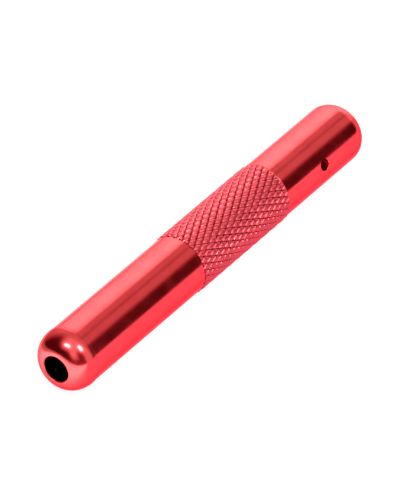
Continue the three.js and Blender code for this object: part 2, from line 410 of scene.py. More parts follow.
def diamond_tree() -> NodeTree:
    """Tree that lays rows of knurl diamonds round the axis, over a little more than their length."""
    t = NodeTree("Diamond knurl")
    t.start(
        ("Start", "Length", "Row Length", "Axis Height", "Crest Radius", "Depth", "Crown", "Dome", "Shallow"),
        whole=("Starts", "Cell Faces"),
    )
    corners = t.math("ADD", t.of("Cell Faces"), 1.0)
    cell = t.node("GeometryNodeMeshGrid", Size_X=1.0, Size_Y=1.0, Vertices_X=corners, Vertices_Y=corners)
    place = t.node("GeometryNodeInputPosition").outputs[0]
    spot = t.node("ShaderNodeSeparateXYZ", i0=place).outputs
    sides = [t.math("ABSOLUTE", part) for part in spot[:2]]
    rim = t.math("SUBTRACT", 1.0, t.math("MULTIPLY", t.math("MAXIMUM", *sides), 2.0))
    corner = t.math("MULTIPLY", t.math("MINIMUM", *sides), 2.0)
    # crown and crossing shape the diamonds here and also place the painted shade along the knurl's grooves in
    # its finish.
    stored = cell
    for name, value in (("crown", rim), ("crossing", corner)):
        stored = t.node(
            "GeometryNodeStoreNamedAttribute", {"data_type": "FLOAT", "domain": "POINT"},
            Geometry=stored.outputs[0], Name=name, Value=value,
        )
    half_row = t.math("DIVIDE", t.of("Row Length"), 2.0)
    half_place = t.math("DIVIDE", t.math("MULTIPLY", t.of("Crest Radius"), math.pi), t.of("Starts"))
    turned = t.node(
        "GeometryNodeTransform", Geometry=stored.outputs[0],
        Rotation=(0.0, 0.0, math.pi / 4), Scale=(math.sqrt(2), math.sqrt(2), 1.0),
    )
    stretch = t.node("ShaderNodeCombineXYZ", i0=half_row, i1=half_place, i2=1.0).outputs[0]
    shaped = t.node("GeometryNodeTransform", Geometry=turned.outputs[0], Scale=stretch)
    split = t.node("GeometryNodeTriangulate", {"quad_method": "SHORTEST_DIAGONAL"}, i0=shaped.outputs[0])

    rows = t.math("MULTIPLY", t.math("CEIL", t.math("DIVIDE", t.of("Length"), t.of("Row Length"))), 2.0)
    rows = t.math("ADD", rows, 2.0)
    reach = t.math("MULTIPLY", rows, half_row)
    places = t.math("MULTIPLY", t.of("Starts"), 2.0)
    width = t.math("MULTIPLY", half_place, t.math("SUBTRACT", places, 1.0))
    lattice = t.node(
        "GeometryNodeMeshGrid", Size_X=reach, Size_Y=width,
        Vertices_X=t.math("ADD", rows, 1.0), Vertices_Y=places,
    )
    row, column = (
        t.math("ROUND", t.math("DIVIDE", t.math("ADD", part, t.math("DIVIDE", extent, 2.0)), step))
        for part, extent, step in ((spot[0], reach, half_row), (spot[1], width, half_place))
    )
    odd = t.math("MODULO", t.math("ADD", row, column), 2.0)
    even = t.node("FunctionNodeCompare", {"operation": "LESS_THAN"}, i0=odd, i1=0.5).outputs[0]
    laid = t.node(
        "GeometryNodeInstanceOnPoints", Points=lattice.outputs["Mesh"],
        Selection=even, Instance=split.outputs[0],
    )
    real = t.node("GeometryNodeRealizeInstances", i0=laid.outputs[0]).outputs[0]

    crown, crossing = (
        t.node("GeometryNodeInputNamedAttribute", {"data_type": "FLOAT"}, Name=name).outputs[0]
        for name in ("crown", "crossing")
    )
    extra = t.math("MULTIPLY", t.math("POWER", crossing, 2.0), t.math("SUBTRACT", 1.0, t.of("Shallow")))
    deep = t.math("ADD", extra, t.of("Shallow"))
    fall = t.math("SUBTRACT", 1.0, crown)
    wall = t.math("MULTIPLY", t.math("POWER", fall, t.of("Crown")), t.of("Depth"))
    wall = t.math("MULTIPLY", wall, deep)
    dome = t.math("MULTIPLY", fall, t.of("Dome"))
    radius = t.math("SUBTRACT", t.of("Crest Radius"), t.math("ADD", wall, dome))
    angle = t.math("DIVIDE", spot[1], t.of("Crest Radius"))
    x = t.math("ADD", t.math("ADD", spot[0], t.math("DIVIDE", t.of("Length"), 2.0)), t.of("Start"))
    y = t.math("MULTIPLY", radius, t.math("SINE", angle))
    z = t.math("ADD", t.math("MULTIPLY", radius, t.math("COSINE", angle)), t.of("Axis Height"))
    wrapped = t.node("ShaderNodeCombineXYZ", i0=x, i1=y, i2=z).outputs[0]
    rolled = t.node("GeometryNodeSetPosition", Geometry=real, Position=wrapped)
    welded = t.node("GeometryNodeMergeByDistance", Geometry=rolled.outputs[0], Distance=0.002 * MM)
    t.finish(welded.outputs[0])
    return t


def helix_tree() -> NodeTree:
    """Tree that sweeps a section along a helix: a thread's ridge or a spring's wire."""
    t = NodeTree("Helix")
    t.start(
        ("Start", "Length", "Turns", "Radius", "Axis Height", "Section", "Closed Ends"),
        whole=("Steps", "Sides"),
    )
    line = t.node("GeometryNodeCurvePrimitiveLine", Start=(0.0, 0.0, 0.0), End=(1.0, 0.0, 0.0))
    fine = t.node("GeometryNodeResampleCurve", Curve=line.outputs[0], Count=t.of("Steps"))
    share = t.node("GeometryNodeSplineParameter").outputs["Factor"]
    wound_share = t.math("SUBTRACT", 1.0, t.math("MULTIPLY", t.of("Closed Ends"), 2.0))
    middle = t.math("DIVIDE", t.math("SUBTRACT", share, t.of("Closed Ends")), wound_share)
    level = t.node("ShaderNodeClamp", i0=middle).outputs[0]
    angle = t.math("MULTIPLY", t.math("MULTIPLY", share, t.of("Turns")), 2 * math.pi)
    x = t.math("MULTIPLY_ADD", level, t.of("Length"), t.of("Start"))
    y = t.math("MULTIPLY", t.of("Radius"), t.math("SINE", angle))
    z = t.math("MULTIPLY_ADD", t.of("Radius"), t.math("COSINE", angle), t.of("Axis Height"))
    spot = t.node("ShaderNodeCombineXYZ", i0=x, i1=y, i2=z).outputs[0]
    wound = t.node("GeometryNodeSetPosition", Geometry=fine.outputs[0], Position=spot)
    section = t.node("GeometryNodeCurvePrimitiveCircle", Resolution=t.of("Sides"), Radius=t.of("Section"))
    swept = t.node(
        "GeometryNodeCurveToMesh", Curve=wound.outputs[0], Profile_Curve=section.outputs[0], Fill_Caps=True,
    )
    t.finish(swept.outputs[0])
    return t


# ---- Finishes ----


class ShaderTree(Tree):
    """Tree of a material, the light tent or the floor."""

    def __init__(self, tree: bpy.types.NodeTree, place: str) -> None:
        """Take a tree and the kind of texture coordinate that it works in."""
        super().__init__(tree)
        self.place = self.node("ShaderNodeTexCoord").outputs[place]

    def split(self) -> Sequence[Socket]:
        """The three parts of the texture coordinate."""
        return self.node("ShaderNodeSeparateXYZ", i0=self.place).outputs

    def spread(self, value: Socket, low: object, high: object, start: float = 0.35, end: float = 0.65,
               smooth: bool = False) -> Socket:
        """A value taken from the range start to end onto the range low to high.

        Args:
            value: The value, such as a noise, which mostly lies between 0.35 and 0.65.
            low: Result at start.
            high: Result at end.
            start: Value at which the change starts.
            end: Value at which it ends.
            smooth: Whether the change eases in and out.

        Returns:
            The result.
        """
        made = self.node(
            "ShaderNodeMapRange", {"interpolation_type": "SMOOTHSTEP" if smooth else "LINEAR"},
            Value=value, From_Min=start, From_Max=end, To_Min=low, To_Max=high,
        )
        return made.outputs[0]

    def mix(self, share: Socket, a: object, b: object) -> Socket:
        """Mix of two colours."""
        return self.node("ShaderNodeMix", {"data_type": "RGBA"}, Factor=share, i6=a, i7=b).outputs[2]


class Shader(ShaderTree):
    """A material's node tree under construction."""

    def __init__(self, name: str) -> None:
        """Start a material with one Principled shader."""
        self.material = bpy.data.materials.new(name)
        self.material.use_nodes = True
        super().__init__(self.material.node_tree, "Object")
        self.principled = self.tree.nodes["Principled BSDF"]

    def stretched(self, scale: Scale) -> Socket:
        """Object coordinates about the tool's axis, stretched for a pattern with a direction."""
        onto_axis = (0.0, 0.0, -AXIS_Z * scale[2])
        mapping = self.node("ShaderNodeMapping", Vector=self.place, Location=onto_axis, Scale=scale)
        return mapping.outputs[0]

    def noise(self, scale: float, detail: float, vector: Socket | None = None) -> Socket:
        """Noise in object coordinates, or along a given vector."""
        made = self.node("ShaderNodeTexNoise", Vector=vector or self.place, Scale=scale, Detail=detail)
        return made.outputs["Fac"]

    def bump(self, height: Socket, strength: float, distance: float) -> None:
        """Bump on the shader's normal, over any bump that it already has."""
        made = self.node("ShaderNodeBump", Strength=strength, Distance=distance, Height=height)
        normal = self.principled.inputs["Normal"]
        if normal.is_linked:
            self.put(made.inputs["Normal"], normal.links[0].from_socket)
        self.put(normal, made.outputs[0])

    def attribute(self, name: str) -> Socket:
        """A number that the mesh carries at each point."""
        return self.node("ShaderNodeAttribute", {"attribute_name": name}).outputs["Fac"]


@dataclass(frozen=True)
class Anodised:
    """Dyed anodised aluminium: a red metal under a thin clear oxide layer, turned and polished."""

    name: str
    colour: Colour = (0.86, 0.066, 0.07, 1)
    pale: Colour = (0.9, 0.078, 0.082, 1)
    dye_scale: float = 180
    roughness: float = 0.17
    smudge: float = 0.04
    smudge_scale: float = 260
    turning: float = 0.05
    turned_marks: Scale = (9000, 60, 60)
    hairlines: Scale = (900, 2600, 2600)
    oxide: float = 0.35
    oxide_roughness: float = 0.05
    oxide_index: float = 1.5
    rim: Colour = (1, 0.2, 0.25, 1)
    # painted shade: colour painted along the knurl's grooves, darker towards their crossings, where shade
    # falls
    groove: Colour | None = None
    groove_shade_width: float = 0.2
    groove_line_shade: float = 0.5
    crossing: Point = (0.45, 0.95)
    # painted shade: near-black colour and dull roughness painted where the bore attribute is set, inside
    # holes, bores and the nose seam
    bore: Colour = (0.008, 0.0005, 0.0005, 1)
    bore_roughness: float = 0.6

    def build(self) -> bpy.types.Material:
        """Make the material: dye variation, painted shade in bores and knurl grooves, turning marks, smudges
        and hairlines.
        """
        s = Shader(self.name)
        p = s.principled.inputs
        p["Metallic"].default_value = 1.0
        p["Coat Weight"].default_value = self.oxide
        p["Coat Roughness"].default_value = self.oxide_roughness
        p["Coat IOR"].default_value = self.oxide_index
        p["Specular Tint"].default_value = self.rim
        dye = s.spread(s.noise(self.dye_scale, 4), 0, 1)
        # painted shade inside bores, holes and the nose seam, from the bore attribute
        inside = s.attribute("bore")
        tone = s.mix(dye, self.colour, self.pale)
        # painted shade along the knurl's grooves, darkest at their crossings
        if self.groove:
            floor = s.spread(s.attribute("crown"), 1, 0, 0, self.groove_shade_width, smooth=True)
            crossing_shade = s.spread(s.attribute("crossing"), self.groove_line_shade, 1, *self.crossing, smooth=True)
            tone = s.mix(s.math("MULTIPLY", floor, crossing_shade), tone, self.groove)
        s.put(p["Base Color"], s.mix(inside, tone, self.bore))
        smudges = s.noise(self.smudge_scale, 5)
        smudges = s.spread(smudges, self.roughness - self.smudge / 2, self.roughness + self.smudge)
        s.put(p["Roughness"], s.math("MAXIMUM", smudges, s.math("MULTIPLY", inside, self.bore_roughness)))
        s.bump(s.noise(1.0, 2, s.stretched(self.turned_marks)), self.turning, 0.02 * MM)
        s.bump(s.noise(1.0, 4, s.stretched(self.hairlines)), self.turning * 0.6, 0.01 * MM)
        return s.material


@dataclass(frozen=True)
class Steel:
    """Bare steel with the marks of turning, grinding or drawing."""

    name: str
    colour: Colour = (0.56, 0.56, 0.57, 1)
    shade: Colour = (0.44, 0.44, 0.46, 1)
    tone_scale: float = 420
    roughness: float = 0.26
    polish: float = 0.05
    wear: float = 0.09
    wear_scale: float = 700
    marks: Scale = (7000, 80, 80)
    strength: float = 0.12

    def build(self) -> bpy.types.Material:
        """Make the material: tone, tool marks and handling."""
        s = Shader(self.name)
        p = s.principled.inputs
        p["Metallic"].default_value = 1.0
        s.put(p["Base Color"], s.mix(s.spread(s.noise(self.tone_scale, 5), 0, 1), self.colour, self.shade))
        worn = s.spread(s.noise(self.wear_scale, 4), self.roughness - self.polish, self.roughness + self.wear)
        s.put(p["Roughness"], worn)
        s.bump(s.noise(1.0, 3, s.stretched(self.marks)), self.strength, 0.03 * MM)
        return s.material


@dataclass(frozen=True)
class Nitrile:
    """Smooth black rubber of the seal rings."""

    name: str
    colour: Colour = (0.012, 0.012, 0.013, 1)
    bloom: Colour = (0.03, 0.03, 0.031, 1)
    bloom_scale: float = 900
    roughness: Point = (0.42, 0.6)
    roughness_scale: float = 1400
    grain_scale: float = 6000

    def build(self) -> bpy.types.Material:
        """Make the material: black with a fine bloom and grain."""
        s = Shader(self.name)
        p = s.principled.inputs
        p["Specular IOR Level"].default_value = 0.4
        s.put(p["Base Color"], s.mix(s.spread(s.noise(self.bloom_scale, 4), 0, 1), self.colour, self.bloom))
        s.put(p["Roughness"], s.spread(s.noise(self.roughness_scale, 3), *self.roughness))
        s.bump(s.noise(self.grain_scale, 2), 0.15, 0.02 * MM)
        return s.material


class Finishes:
    """The finishes of the tool, one material each."""

    def __init__(self) -> None:
        """Build every material once."""
        finishes = {
            Slot.ANODISED: Anodised("anodised_red"),
            Slot.KNURL: Anodised(
                "anodised_red_knurl", colour=(0.64, 0.078, 0.095, 1), pale=(0.72, 0.09, 0.11, 1),
                # groove is the painted shade along the knurl's grooves
                roughness=0.36, smudge=0.08, turning=0.03, groove=(0.06, 0.001, 0.003, 1),
            ),
            Slot.COLLET: Steel("ground_steel", roughness=0.2),
            Slot.SPINDLE: Steel("turned_steel"),
            Slot.SPRING: Steel("spring_wire", colour=(0.5, 0.5, 0.52, 1), roughness=0.22, strength=0.05),
            Slot.OXIDE: Steel(
                "black_oxide", colour=(0.035, 0.035, 0.04, 1), shade=(0.06, 0.055, 0.05, 1), roughness=0.4,
            ),
            Slot.BRASS: Steel(
                "turned_brass", colour=(0.72, 0.5, 0.2, 1), shade=(0.6, 0.4, 0.15, 1), roughness=0.24,
            ),
            Slot.RUBBER: Nitrile("nitrile"),
        }
        self.of = {slot: finish.build() for slot, finish in finishes.items()}

    def dress(self, piece: Piece, slot: Slot) -> None:
        """Give a piece one finish all over."""
        piece.data.materials.clear()
        piece.data.materials.append(self.of[slot])


@dataclass
class SubAssembly:
    """Some pieces that are made and dressed together."""

    finishes: Finishes

    def place(self, piece: Piece, body: Body | str, slot: Slot, *nodes: str) -> Piece:
        """Finish a piece, put it on its body and let it stand for its CAD nodes.

        Args:
            piece: The piece, with its place in its mesh.
            body: Body that it rides on.
            slot: Its finish.
            nodes: CAD nodes that it stands for.

        Returns:
            The piece.
        """
        self.finishes.dress(piece, slot)
        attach(piece, body.value if isinstance(body, Body) else body)
        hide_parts(*nodes)
        log.info("%s: %d faces on %s", piece.name, len(piece.data.polygons), body)
        return piece


# ---- Front sleeve ----


@dataclass
class FrontSleeve(SubAssembly):
    """Domed nose cap and smooth front sleeve, which turn together."""

    cap_seam: float = node_span("front_barrel")[0] - SEAT_GAP
    dome_length: float = 4.4 * MM
    mouth_radius: float = 2.68 * MM
    lip: float = 0.14 * MM
    thread_radius: float = 4.6 * MM
    cone_back_radius: float = 3.85 * MM
    mouth_land: float = 4.6 * MM
    cone_length: float = 5 * MM
    fit: float = 0.3 * MM
    seam: float = 0.11 * MM
    grip_seam: float = 0.05 * MM
    edge: float = 0.02 * MM
    soft: float = 0.1 * MM

    def nose_cap(self) -> Piece:
        """Dome with its rounded mouth, the closing cone behind it and the threaded tail."""
        nose, cap_tail = node_span("nose_cap")
        radius = node_radius("nose_cap")
        dome_start = (nose, self.mouth_radius + self.lip)
        lip = quarter_round((nose + self.lip, self.mouth_radius), dome_start, 8)
        inside = [
            (self.cap_seam, radius, self.edge),
            (self.cap_seam, self.thread_radius, 0),
            (cap_tail, self.thread_radius, 2 * self.soft),
            (cap_tail, self.cone_back_radius, self.soft),
            (nose + self.mouth_land + self.cone_length, self.cone_back_radius, 6 * self.soft),
            (nose + self.mouth_land, self.mouth_radius, 5 * self.soft),
        ]
        dome = quarter_round(dome_start, (nose + self.dome_length, radius), 36)
        tail = rounded([(*dome[-1], 0), *inside, (*lip[0], 0)], closed=False)
        cap = revolve("domed_nose_cap", [*lip[:-1], *dome, *tail[1:-1]])
        # Painted shade: the mouth's inside, behind the lip, is painted near-black where shade falls inside
        # the nose.
        land = nose + 0.6 * self.lip
        widest = self.mouth_radius + 0.3 * self.lip
        paint_bore_shade(cap, lambda x, r: float(x > land and r < max(widest, self.mouth_radius + (x - nose) / 4)))
        return cap

    def front_barrel(self) -> Piece:
        """Plain sleeve with softly broken edges, its ends all but touching its neighbours."""
        _, end = node_span("front_barrel")
        start = self.cap_seam + self.seam
        end += SEAT_GAP - self.grip_seam
        bore = self.thread_radius + self.fit
        sleeve = revolve("front_sleeve", rounded([
            (start, bore, 0),
            (start, SLEEVE_RADIUS, self.edge),
            (start + STRAIGHT, SLEEVE_RADIUS, 0),
            (end - STRAIGHT, SLEEVE_RADIUS, 0),
            (end, SLEEVE_RADIUS, 2 * self.edge),
            (end, bore, 0),
        ]))
        # Painted shade: the front end face, in the seam against the nose cap, is painted near-black.
        paint_bore_shade(sleeve, lambda x, r: float(x < start + self.edge / 2))
        return sleeve

    def build(self) -> None:
        """Make and place both pieces."""
        self.place(self.nose_cap(), Body.FRONT_SLEEVE, Slot.ANODISED, "nose_cap")
        self.place(self.front_barrel(), Body.FRONT_SLEEVE, Slot.ANODISED, "front_barrel")


# ---- Chuck ----


@dataclass
class Chuck(SubAssembly):
    """Split collet, its spring and the spring's washer."""

    jaws: int = 4
    slot: float = 0.3 * MM
    bore: float = 0.6 * MM
    bevel: float = 0.35 * MM
    shank: float = 2.55 * MM
    shank_bore: float = 1.6 * MM
    head_length: float = 5.6 * MM
    cone_length: float = 4.2 * MM
    neck: float = 1.2 * MM
    relief: float = 1.5 * MM
    collar_length: float = 1.5 * MM
    collar_setback: float = 4 * MM
    edge: float = 0.05 * MM
    soft: float = 0.1 * MM
    tip_radius: float = 2.33 * MM
    head_radius: float = 3.45 * MM
    washer_play: float = 0.3 * MM
    wire: float = 0.3 * MM
    coil: float = 3.62 * MM
    turns: int = 8
    closed_ends: float = 0.09

    def jaw(self, number: int) -> Piece:
        """One jaw, with its ground cone, bevelled mouth and relieved back."""
        tip, root = node_span(f"collet_jaw_{number}")
        head = tip + self.head_length
        outline = rounded([
            (tip + self.bevel, self.bore, self.edge),
            (tip, self.bore + self.bevel, self.edge),
            (tip, self.tip_radius, self.soft),
            (tip + self.cone_length, self.head_radius, 1.5 * self.soft),
            (head, self.head_radius, 2 * self.soft),
            (head + self.neck, self.shank, 3 * self.soft),
            (root, self.shank, 0),
            (root, self.shank_bore, 0),
            (head, self.shank_bore, 2 * self.soft),
            (head - self.relief, self.bore, 2 * self.soft),
        ], steps=3)
        span = 2 * math.pi / self.jaws
        return sector(f"jaw_{number}", outline, span * (number - 0.5), span, self.slot)

    def body(self) -> Piece:
        """Shank behind the jaws, with the spring's collar."""
        start, end = node_span("collet_body")
        collar_radius = node_radius("collet_body")
        collar_end = end - self.collar_setback
        collar_start = collar_end - self.collar_length
        soft = 1.2 * self.soft
        return revolve("collet_shank", rounded([
            (start, self.shank_bore, 0),
            (start, self.shank, 0),
            (collar_start, self.shank, soft),
            (collar_start, collar_radius, soft),
            (collar_end, collar_radius, soft),
            (collar_end, self.shank, soft),
            (end, self.shank, 3 * soft),
            (end, self.shank_bore, soft),
        ], steps=3), SMALL_ROUND_FACES)

    def washer(self) -> Piece:
        """Brass washer between the cap and the spring."""
        start, end = node_span("spring_washer")
        radii = (self.shank + self.washer_play, node_radius("spring_washer"))
        corners = [(start, radii[0]), (start, radii[1]), (end, radii[1]), (end, radii[0])]
        outline = rounded([(*corner, self.soft) for corner in corners], steps=3)
        return revolve("brass_washer", outline, SMALL_ROUND_FACES)

    def spring(self) -> Piece:
        """Compression spring with closed end coils."""
        start, end = node_span("collet_spring")
        return helix_tree().make("coil_spring", {
            "Start": start + self.wire, "Length": end - start - 2 * self.wire, "Turns": float(self.turns),
            "Radius": self.coil, "Axis Height": AXIS_Z, "Section": self.wire, "Closed Ends": self.closed_ends,
            "Steps": self.turns * 40, "Sides": 12, "Material": self.finishes.of[Slot.SPRING],
        }, SHARP_WIRE)

    def build(self) -> None:
        """Make and place the collet, washer and spring."""
        for number in range(1, self.jaws + 1):
            node = f"collet_jaw_{number}"
            self.place(self.jaw(number), node, Slot.COLLET, node)
        self.place(self.body(), Body.HANDLE, Slot.COLLET, "collet_body")
        self.place(self.washer(), Body.SPRING_SEAT, Slot.BRASS, "spring_washer")
        spring = self.spring()
        self.finishes.dress(spring, Slot.SPRING)
        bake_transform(spring)
        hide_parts("collet_spring")
        log.info("%s: %d faces across the slide", spring.name, len(spring.data.polygons))


# ---- Threads and rings ----


@dataclass
class ThreadedPiece(SubAssembly):
    """Shared ways of the pieces that carry a thread and a seal ring."""

    thread_radius: float = 4.6 * MM
    pitch: float = 0.8 * MM
    ridge: float = 0.42 * MM
    root: float = 0.36 * MM
    run_out: float = 0.3 * MM
    plain: float = 0.5 * MM
    groove_radius: float = 3.46 * MM
    groove_half: float = 0.72 * MM
    soft: float = 0.1 * MM

    def threaded_end(self, start: float, ring: str) -> list[Corner]:
        """Outline of a threaded end and its ring groove.

        Args:
            start: Station at which the thread starts.
            ring: CAD node of the ring in the groove.

        Returns:
            Corners from the thread's root to the far wall of the groove.
        """
        groove = sum(node_span(ring)) / 2
        near, far = groove - self.groove_half, groove + self.groove_half
        return [
            (start, self.thread_radius - self.root, self.soft),
            (near - self.plain, self.thread_radius - self.root, self.soft / 2),
            (near - self.plain, self.thread_radius, self.soft),
            (near, self.thread_radius, self.soft),
            (near, self.groove_radius, self.soft),
            (far, self.groove_radius, self.soft),
            (far, self.thread_radius, self.soft),
        ]

    def thread(self, start: float, end: float, slot: Slot) -> Piece:
        """Helical ridge of a thread between two stations."""
        turns = (end - start) / self.pitch
        return helix_tree().make("thread_ridge", {
            "Start": start, "Length": end - start, "Turns": turns,
            "Radius": self.thread_radius - self.ridge, "Axis Height": AXIS_Z, "Section": self.ridge,
            "Closed Ends": 0.0, "Steps": int(turns * 64), "Sides": 4, "Material": self.finishes.of[slot],
        }, SHARP_THREAD)

    def joined(self, name: str, core: Piece, ridge: Piece) -> Piece:
        """Gather a core and its thread in one mesh."""
        work = bmesh.new()
        mesh = bpy.data.meshes.new(name)
        for part in (core, ridge):
            work.from_mesh(part.data)
            bpy.data.objects.remove(part)
        work.to_mesh(mesh)
        work.free()
        shade(mesh, SHARP_THREAD)
        return new_object(name, mesh)

    def ring(self, name: str, node: str, body: Body) -> None:
        """Round rubber ring in place of a CAD seal ring."""
        low, high = node_span(node)
        section = (high - low) / 2
        centre = (low + high) / 2
        middle = node_radius(node) - section
        sides = 20
        angles = [2 * math.pi * k / sides for k in range(sides)]
        outline = [(centre + section * math.cos(a), middle + section * math.sin(a)) for a in angles]
        self.place(revolve(name, outline, SMALL_ROUND_FACES), body, Slot.RUBBER, node)


@dataclass
class Spindle(ThreadedPiece):
    """Hollow threaded spindle, its nut and its seal ring."""

    bore: float = 1.2 * MM
    stem: float = 2.4 * MM
    socket: float = 2.85 * MM
    socket_depth: float = 4 * MM
    socket_cone: float = 1 * MM
    shoulder_inset: float = 9.5 * MM
    lead_in: float = 0.5 * MM
    round_faces: int = 128

    def spindle(self) -> Piece:
        """Spindle with its socket, ring groove, shoulder and stem."""
        start, end = node_span("chuck_spindle")
        shoulder = node_span("knurled_grip")[0] + self.shoulder_inset
        threaded = self.threaded_end(start, "front_seal_ring")
        socket_end = start + self.socket_depth
        body = revolve("spindle_core", rounded([
            (start, self.socket, self.soft),
            *threaded,
            (shoulder, self.thread_radius, self.soft),
            (shoulder, self.stem, self.soft),
            (end, self.stem, 2 * self.soft),
            (end, self.bore, self.soft),
            (socket_end + self.socket_cone, self.bore, self.soft),
            (socket_end, self.socket, self.soft),
        ], steps=3), self.round_faces)
        ridge = self.thread(start + self.lead_in, threaded[1][0] - self.run_out, Slot.SPINDLE)
        return self.joined("threaded_spindle", body, ridge)

    def build(self) -> None:
        """Make and place the spindle and its ring, and dress the nut."""
        self.place(self.spindle(), Body.HANDLE, Slot.SPINDLE, "chuck_spindle")
        self.ring("front_ring", "front_seal_ring", Body.HANDLE)
        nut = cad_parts["spindle_nut"]
        self.finishes.dress(nut, Slot.OXIDE)


# ---- Grip ----


@dataclass
class Grip(SubAssembly):
    """Diamond-knurled grip between the two sleeves."""

    starts: int = 28
    row_length: float = 2.75 * MM
    depth: float = 0.3 * MM
    dome: float = 0.06 * MM
    clear: float = 0.005 * MM
    crown: float = 4.0
    shallow: float = 0.62
    cell_faces: int = 8
    bore: float = 4.9 * MM
    web_start: float = 9.8 * MM
    web: float = 3 * MM
    stem_bore: float = 2.7 * MM

    def shell(self) -> Piece:
        """Knurled surface, open at both ends."""
        start, end = node_span("knurled_grip")
        return diamond_tree().make("knurled_grip_body", {
            "Start": start, "Length": end - start, "Row Length": self.row_length, "Axis Height": AXIS_Z,
            "Crest Radius": node_radius("knurled_grip") - self.clear, "Depth": self.depth,
            "Crown": self.crown, "Dome": self.dome, "Shallow": self.shallow, "Starts": self.starts,
            "Cell Faces": self.cell_faces, "Material": self.finishes.of[Slot.KNURL],
        }, SHARP_KNURL)

    def close(self, shell: Piece) -> None:
        """Close the knurled surface with end walls, the bore and the inner web."""
        start, end = node_span("knurled_grip")
        work = bmesh.new()
        work.from_mesh(shell.data)
        for station, outward in ((start, -1), (end, 1)):
            bmesh.ops.bisect_plane(
                work, geom=[*work.verts, *work.edges, *work.faces], dist=1e-7,
                plane_co=(station, 0, 0), plane_no=(outward, 0, 0), clear_outer=True,
            )
        open_edges = [e for e in work.edges if e.is_boundary]
        front = [e for e in open_edges if e.verts[0].co.x < (start + end) / 2]
        rear = [e for e in open_edges if e.verts[0].co.x > (start + end) / 2]
        web_start = start + self.web_start
        web_end = web_start + self.web
        front = self.inward(work, front, [
            (start, self.bore),
            (web_start, self.bore),
            (web_start, self.stem_bore),
            (web_end, self.stem_bore),
        ])
        rear = self.inward(work, rear, [(end, self.bore), (web_end, self.bore)])
        bmesh.ops.bridge_loops(work, edges=front + rear)
        bmesh.ops.recalc_face_normals(work, faces=work.faces)
        work.to_mesh(shell.data)
        work.free()
        shade(shell.data, SHARP_KNURL)

    def inward(self, work: bmesh.types.BMesh, edges: list, stops: Sequence[Point]) -> list:
        """Draw a loop of edges inwards through circles.

        Args:
            work: Mesh that holds the loop.
            edges: Edges of the loop.
            stops: (station, radius) of each circle, in order.

        Returns:
            Edges of the last circle.
        """
        for x, radius in stops:
            made = bmesh.ops.extrude_edge_only(work, edges=edges)["geom"]
            for vertex in (g for g in made if isinstance(g, bmesh.types.BMVert)):
                out = Vector((0, vertex.co.y, vertex.co.z - AXIS_Z)).normalized() * radius
                vertex.co = (x, out.y, out.z + AXIS_Z)
            edges = [g for g in made if isinstance(g, bmesh.types.BMEdge)]
        return edges

    def build(self) -> None:
        """Make and place the grip."""
        shell = self.shell()
        self.close(shell)
        self.place(shell, Body.HANDLE, Slot.KNURL, "knurled_grip")


# ---- Rear sleeve ----


@dataclass
class RearSleeve(ThreadedPiece):
    """Hollow rear sleeve with its domed tail, tommy-bar hole and seal ring."""

    dome_length: float = 4 * MM
    flat_radius: float = 2.1 * MM
    store: float = 2.9 * MM
    floor: float = 5 * MM
    point: float = math.radians(31)
    lead_in: float = 0.4 * MM
    edge: float = 0.14 * MM
    hole_radius: float = 1.15 * MM
    hole_setback: float = 14.65 * MM
    hole_floor: float = 3.4 * MM
    hole_chamfer: float = 0.12 * MM
    hole_angle: float = math.radians(17.9)
    hole_shade: float = 0.6
    hole_rim: float = 0.5 * MM
    seam: float = 0.05 * MM

    def sleeve(self) -> Piece:
        """Sleeve with its threaded spigot, groove, store and tail dome."""
        start, tail = node_span("rear_barrel")
        shoulder = node_span("knurled_grip")[1] + self.seam
        threaded = self.threaded_end(start, "rear_seal_ring")
        store_end = tail - self.floor
        dome_start = tail - self.dome_length
        dome = quarter_round((tail, self.flat_radius), (dome_start, SLEEVE_RADIUS), 40)[::-1]
        front = rounded([
            (store_end + self.store * math.tan(self.point), 0, 0),
            (store_end, self.store, self.soft),
            (start, self.store, self.soft),
            *threaded,
            (shoulder, self.thread_radius, self.soft / 2),
            (shoulder, SLEEVE_RADIUS, self.edge),
            (shoulder + self.edge + STRAIGHT, SLEEVE_RADIUS, 0),
            (dome_start - STRAIGHT, SLEEVE_RADIUS, 0),
            (*dome[0], 0),
        ], steps=4, closed=False)
        body = revolve("rear_core", [*front[:-1], *dome, (tail, 0)])
        self.drill(body, tail - self.hole_setback)
        # Painted shade: the tommy-bar hole deeper than hole_rim, and the store inside, are painted hole_shade
        # of the way to near-black.
        wall = SLEEVE_RADIUS - self.hole_rim
        paint_bore_shade(body, lambda x, r: self.hole_shade * float(shoulder < x < dome_start and r < wall))
        ridge = self.thread(start + self.lead_in, threaded[1][0] - self.run_out, Slot.ANODISED)
        return self.joined("rear_sleeve", body, ridge)

    def drill(self, body: Piece, station: float) -> None:
        """Cut the blind tommy-bar hole with its broken edge."""
        reach = 2 * SLEEVE_RADIUS
        profile = rounded([
            (self.hole_floor, 0, 0),
            (self.hole_floor + self.hole_radius * math.tan(self.point), self.hole_radius, self.soft / 2),
            (SLEEVE_RADIUS - 2 * self.hole_rim, self.hole_radius, 0),
            (SLEEVE_RADIUS - self.hole_chamfer, self.hole_radius, 0),
            (reach, self.hole_radius + reach - SLEEVE_RADIUS + self.hole_chamfer, 0),
            (reach, 0, 0),
        ], closed=False)
        direction = Vector((0, -math.cos(self.hole_angle), math.sin(self.hole_angle)))
        side = Vector((0, math.sin(self.hole_angle), math.cos(self.hole_angle)))
        origin = Vector((station, 0, AXIS_Z))
        segments = 64
        vertices = []
        for height, r in profile:
            for k in range(segments):
                angle = 2 * math.pi * k / segments
                ring = Vector((math.cos(angle), 0, 0)) + side * math.sin(angle)
                vertices.append(origin + direction * height + r * ring)
        faces = grid_faces(len(profile), segments, False, True)
        carve(body, mesh_object("drill", vertices, faces))

    def build(self) -> None:
        """Make and place the sleeve and its ring."""
        self.place(self.sleeve(), Body.TAIL_SLEEVE, Slot.ANODISED, "rear_barrel")
        self.ring("rear_ring", "rear_seal_ring", Body.TAIL_SEAL)


